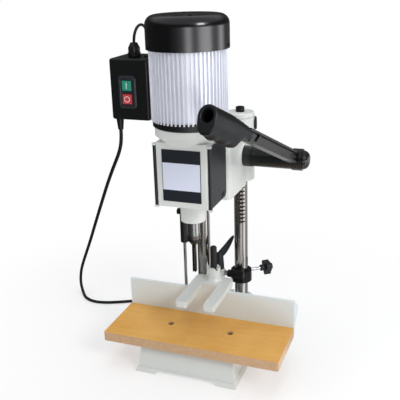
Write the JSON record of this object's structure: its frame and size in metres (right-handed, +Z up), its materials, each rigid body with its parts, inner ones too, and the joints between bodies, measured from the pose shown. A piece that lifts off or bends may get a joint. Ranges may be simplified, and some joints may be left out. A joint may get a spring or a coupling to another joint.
{
  "type": "benchtop mortiser",
  "caption": "Benchtop hollow-chisel mortiser: ribbed motor head on two columns, rack feed lever, fence, hold-down fork, wooden table and switch box.",
  "frame": {"origin": "on the bench under the middle of the fence face, in the plane of the base's feet", "axes": "+X to the machine's right, +Y to its back, +Z up; the spindle stands in the plane X = 0"},
  "size_m": [0.5575, 0.4517, 0.653],
  "materials": {
    "cast_paint": "sprayed off-white enamel, slightly pebbled",
    "alloy_paint": "die-cast alloy under sprayed off-white enamel",
    "black_alloy": "die-cast alloy under black enamel, satin",
    "fence_paint": "warm grey enamel",
    "table_board": "fibreboard with a varnished face, darker raw edges",
    "zinc_steel": "bright zinc plating",
    "ground_steel": "ground and polished steel",
    "black_oxide": "blackened steel",
    "bronze_bush": "bronze bush, satin",
    "black_enamel": "black enamel, satin",
    "gloss_black_enamel": "black enamel, glossy",
    "black_plastic": "moulded black plastic",
    "ribbed_aluminium": "extruded aluminium, bright",
    "motor_steel": "bare motor iron",
    "tool_steel": "hardened tool steel, dark",
    "switch_plastic": "moulded black plastic, fine grain",
    "label_print": "printed plate, pale field between two dark bands",
    "grip_plastic": "dark grey moulded plastic, satin",
    "spring_steel": "spring wire",
    "door_plastic": "dark grey moulded plastic",
    "green_plastic": "green push button",
    "red_plastic": "red push button",
    "cord_sheath": "black cord sheath"
  },
  "bodies": {
    "base": {"base_casting": "cast_paint", "table_board": "table_board", "table_screws": "zinc_steel", "rack_column": "ground_steel", "guide_column": "ground_steel", "column_caps": "cast_paint", "column_cap_bolts": "black_oxide", "strut_rod": "ground_steel", "strut_foot": "black_oxide", "mains_cord": "cord_sheath", "mains_coil": "cord_sheath", "mains_plug": "switch_plastic"},
    "fence": {"fence": "fence_paint", "fence_guide_bar": "ground_steel"},
    "fence_lock": {"fence_lock_knob": "black_plastic"},
    "hold_down": {"hold_down_collar": "black_oxide", "hold_down_bar": "ground_steel", "hold_down_fork": "cast_paint", "fork_post": "black_plastic"},
    "clamp_lever": {"hold_down_lever": "black_plastic"},
    "clamp_knob": {"clamp_screw": "zinc_steel", "clamp_knob": "black_plastic"},
    "head": {"head_casting": "alloy_paint", "column_bushes": "bronze_bush", "barrel_plug": "black_plastic", "chisel_bushing": "ground_steel", "chisel_lock_screw": "black_oxide", "chisel": "tool_steel", "label_plate": "label_print", "motor_body": "ribbed_aluminium", "motor_end_ring": "black_alloy", "motor_top_bell": "black_alloy", "fan_cowl": "gloss_black_enamel", "cowl_screws": "black_oxide", "stator": "motor_steel", "motor_bearings": "ground_steel", "strut_cylinder": "black_enamel", "strut_bracket": "zinc_steel", "switch_box": "switch_plastic", "switch_bracket": "black_enamel", "switch_guard": "switch_plastic", "switch_block": "switch_plastic", "glands": "switch_plastic", "motor_lead": "cord_sheath", "door_hinge_pins": "zinc_steel"},
    "spindle": {"motor_shaft": "ground_steel", "rotor": "motor_steel", "cooling_fan": "black_plastic", "chuck": "ground_steel", "auger_bit": "tool_steel"},
    "pinion": {"pinion_shaft": "tool_steel", "index_collar": "black_enamel"},
    "lever": {"feed_lever": "gloss_black_enamel", "lever_grip": "grip_plastic", "hub_cap": "gloss_black_enamel", "index_spring": "spring_steel"},
    "right_door": {"right_chuck_door": "door_plastic"},
    "left_door": {"left_chuck_door": "door_plastic"},
    "start": {"start_button": "green_plastic"},
    "stop": {"stop_button": "red_plastic"}
  },
  "joints": [
    {"name": "head_slide", "type": "slide", "parent": "base", "child": "head", "axis": [0, 0, 1], "range_m": [-0.09, 0], "deforming": ["mains_cord"]},
    {"name": "fence_slide", "type": "slide", "parent": "base", "child": "fence", "axis": [0, 1, 0], "range_m": [0, 0.02]},
    {"name": "fence_lock_turn", "type": "hinge", "parent": "base", "child": "fence_lock", "pos_m": [0, 0.076, 0.085], "axis": [0, 0, 1], "range_deg": [0, 360]},
    {"name": "hold_down_slide", "type": "slide", "parent": "base", "child": "hold_down", "axis": [0, 0, 1], "range_m": [0, 0.02]},
    {"name": "clamp_lever_turn", "type": "hinge", "parent": "hold_down", "child": "clamp_lever", "pos_m": [0.003, 0.057, 0.16], "axis": [0, 0, 1], "range_deg": [-5, 48]},
    {"name": "clamp_knob_turn", "type": "hinge", "parent": "hold_down", "child": "clamp_knob", "pos_m": [0.04, 0.085, 0.133], "axis": [0.788, 0.6157, 0], "range_deg": [0, 360]},
    {"name": "spindle_spin", "type": "hinge", "parent": "head", "child": "spindle", "pos_m": [0, -0.07, 0.4], "axis": [0, 0, 1], "continuous": true},
    {"name": "pinion_turn", "type": "hinge", "parent": "head", "child": "pinion", "pos_m": [0.012, 0.054, 0.387], "axis": [1, 0, 0], "range_deg": [0, 258]},
    {"name": "lever_turn", "type": "hinge", "parent": "head", "child": "lever", "pos_m": [0.075, 0.054, 0.387], "axis": [1, 0, 0], "range_deg": [-40, 66]},
    {"name": "right_door_hinge", "type": "hinge", "parent": "head", "child": "right_door", "pos_m": [0.0493, -0.113, 0.39], "axis": [0, 0, 1], "range_deg": [-38, 0]},
    {"name": "left_door_hinge", "type": "hinge", "parent": "head", "child": "left_door", "pos_m": [-0.0493, -0.113, 0.39], "axis": [0, 0, 1], "range_deg": [0, 100]},
    {"name": "start_press", "type": "slide", "parent": "head", "child": "start", "axis": [0, 1, 0], "range_m": [0, 0.003], "stiffness_N_per_m": 500},
    {"name": "stop_press", "type": "slide", "parent": "head", "child": "stop", "axis": [0, 1, 0], "range_m": [0, 0.003], "stiffness_N_per_m": 500}
  ],
  "couplings": [
    {"joint": "pinion_turn", "follows": "head_slide", "rad_per_m": -50}
  ]
}
